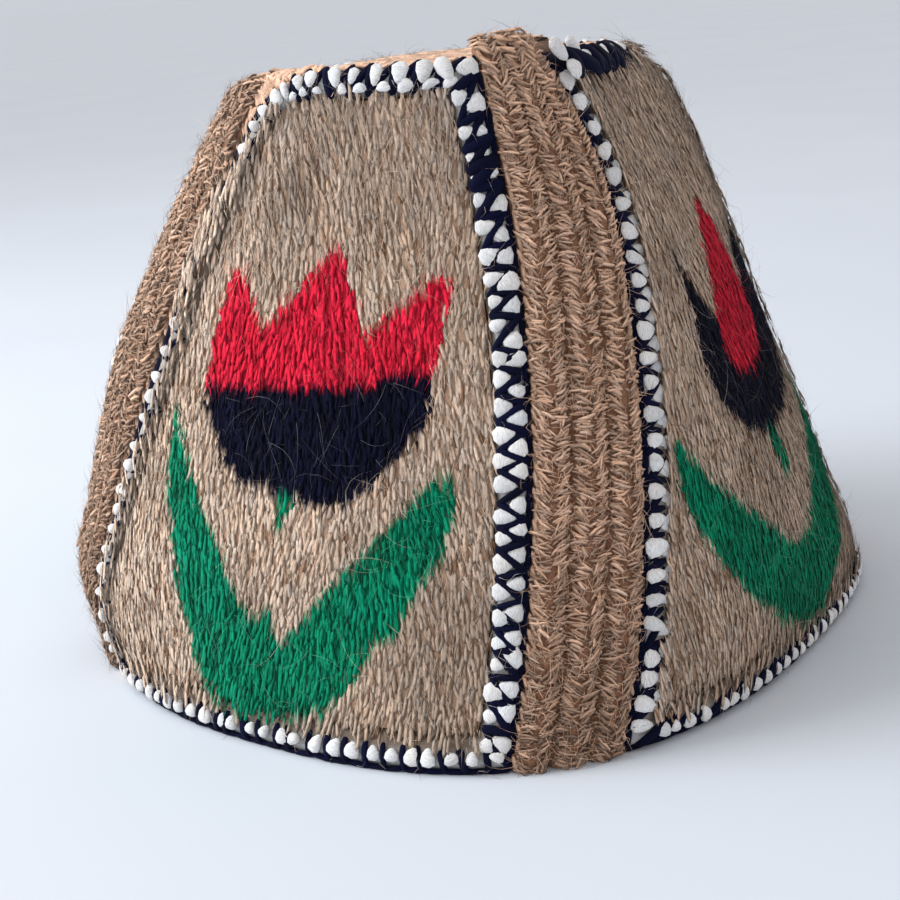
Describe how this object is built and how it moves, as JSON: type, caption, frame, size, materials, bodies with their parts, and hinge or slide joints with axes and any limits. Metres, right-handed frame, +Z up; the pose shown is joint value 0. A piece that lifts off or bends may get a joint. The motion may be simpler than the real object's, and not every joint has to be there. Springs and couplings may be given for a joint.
{
  "type": "wool kalpak hat",
  "caption": "Tapered hand-worked wool hat: wide framed panels with folk tulips, joined by ribbed bands under a closed top, open at the rim for the head.",
  "frame": {"origin": "under the middle of the hat's box, on the surface that the rim stands on", "axes": "+Z up through the closed top, -Y out of the front panel, +X out of the panel on its right"},
  "size_m": [0.1996, 0.1964, 0.1455],
  "materials": {
    "panel_wool": "brushed tan wool, with red, navy and green wool motifs",
    "band_wool": "ribbed brown wool",
    "edging_yarn": "navy and white whipped yarn"
  },
  "bodies": {
    "root": {"panel_1": "panel_wool", "edging_1": "edging_yarn", "band_1": "band_wool", "panel_2": "panel_wool", "edging_2": "edging_yarn", "band_2": "band_wool", "panel_3": "panel_wool", "edging_3": "edging_yarn", "band_3": "band_wool", "panel_4": "panel_wool", "edging_4": "edging_yarn", "band_4": "band_wool", "crown_top": "band_wool"}
  },
  "joints": []
}
